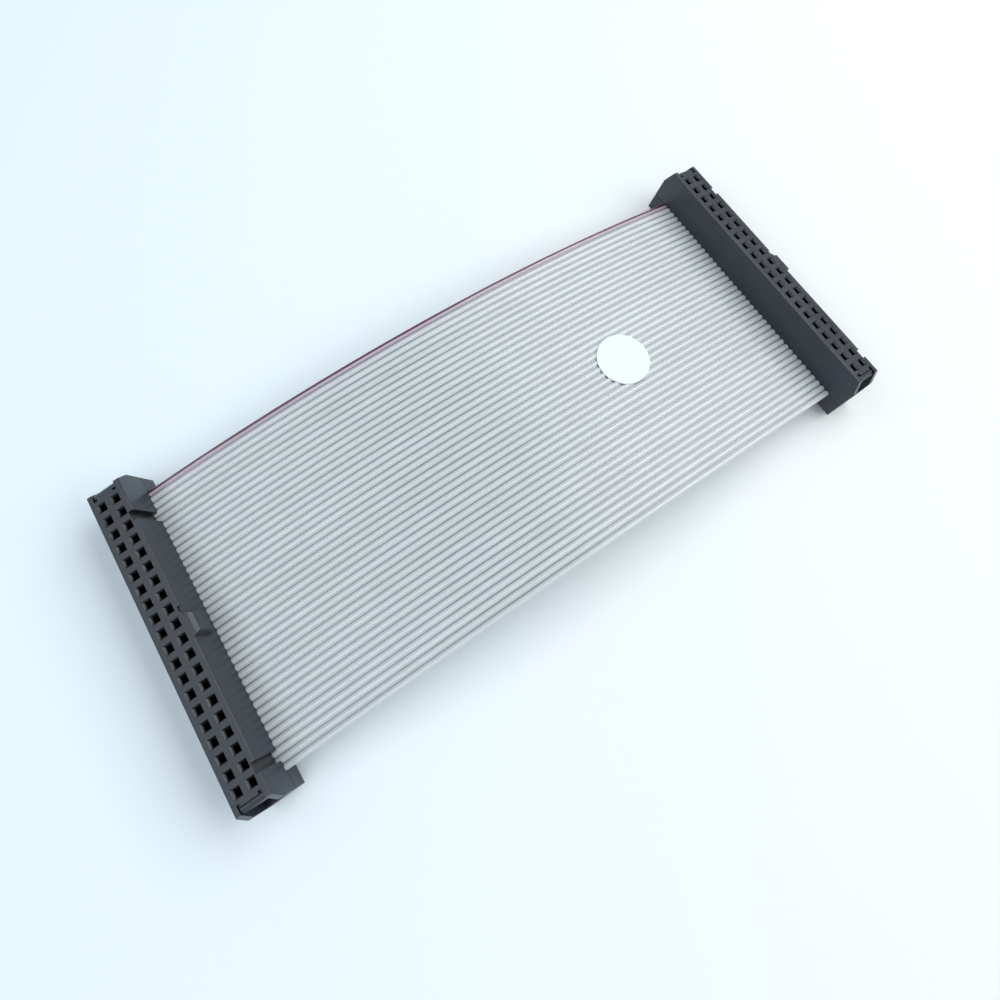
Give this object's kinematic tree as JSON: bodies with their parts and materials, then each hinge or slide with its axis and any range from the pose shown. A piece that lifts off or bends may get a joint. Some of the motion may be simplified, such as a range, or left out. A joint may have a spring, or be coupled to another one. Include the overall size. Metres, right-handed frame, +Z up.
{
  "type": "ribbon cable",
  "caption": "Flat grey ribbon cable with a red edge wire, arched between black press-on sockets whose rows of pin holes face up.",
  "frame": {"origin": "middle of the bounding box in X and Y, on the surface that both sockets stand on", "axes": "+X along the ribbon from the left socket to the right one, +Y along the sockets towards wire 1, +Z up"},
  "size_m": [0.1292, 0.056, 0.0123],
  "materials": {
    "jacket": "satin extruded PVC",
    "copper": "drawn copper",
    "socket": "satin moulded, glass filled",
    "contact": "plated spring bronze",
    "label": "coated paper"
  },
  "bodies": {
    "root": {"ribbon_jacket": "jacket", "copper_1": "copper", "copper_2": "copper", "copper_3": "copper", "copper_4": "copper", "copper_5": "copper", "copper_6": "copper", "copper_7": "copper", "copper_8": "copper", "left_body": "socket", "left_cover": "socket", "left_contacts_1": "contact", "left_contacts_2": "contact", "left_contacts_3": "contact", "left_contacts_4": "contact", "right_body": "socket", "right_cover": "socket", "right_contacts_1": "contact", "right_contacts_2": "contact", "right_contacts_3": "contact", "right_contacts_4": "contact", "round_label": "label"}
  },
  "joints": []
}
